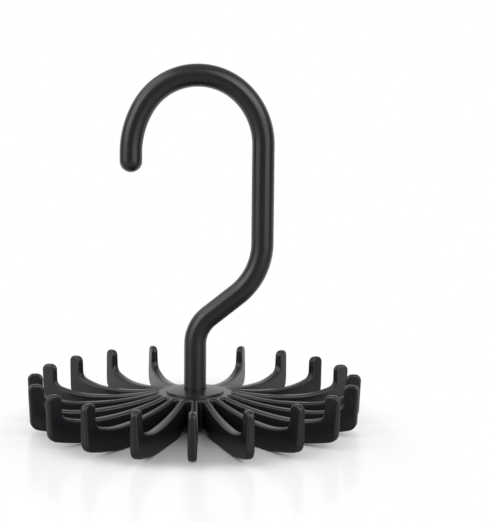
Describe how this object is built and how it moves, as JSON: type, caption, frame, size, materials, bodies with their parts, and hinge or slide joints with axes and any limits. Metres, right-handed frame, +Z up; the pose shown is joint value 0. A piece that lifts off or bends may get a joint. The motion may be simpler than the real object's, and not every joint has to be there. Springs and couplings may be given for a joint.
{
  "type": "revolving tie hanger",
  "caption": "Revolving tie rack: a flat hub with radial upturned arms for ties, under a swan-neck hook that turns in the hub and hangs on a closet rail.",
  "frame": {"origin": "on the turning axis of the hook, in the plane of the flat feet under the arms", "axes": "+Z up along the turning axis towards the hook's crown; +X towards the hook's shank, in the plane in which the hook bends; -Y is the side the picture is taken from"},
  "size_m": [0.135, 0.135, 0.1453],
  "materials": {
    "rack_plastic": "black injection-moulded plastic, satin",
    "hook_plastic": "black injection-moulded plastic, satin, a little glossier than the rack"
  },
  "bodies": {
    "rack": {"hub": "rack_plastic", "arm_01": "rack_plastic", "arm_02": "rack_plastic", "arm_03": "rack_plastic", "arm_04": "rack_plastic", "arm_05": "rack_plastic", "arm_06": "rack_plastic", "arm_07": "rack_plastic", "arm_08": "rack_plastic", "arm_09": "rack_plastic", "arm_10": "rack_plastic", "arm_11": "rack_plastic", "arm_12": "rack_plastic", "arm_13": "rack_plastic", "arm_14": "rack_plastic", "arm_15": "rack_plastic", "arm_16": "rack_plastic", "arm_17": "rack_plastic", "arm_18": "rack_plastic", "arm_19": "rack_plastic", "arm_20": "rack_plastic"},
    "hook": {"hook": "hook_plastic"}
  },
  "joints": [
    {"name": "hook_swivel", "type": "hinge", "parent": "rack", "child": "hook", "pos_m": [0, 0, 0.0129], "axis": [0, 0, 1], "continuous": true}
  ]
}
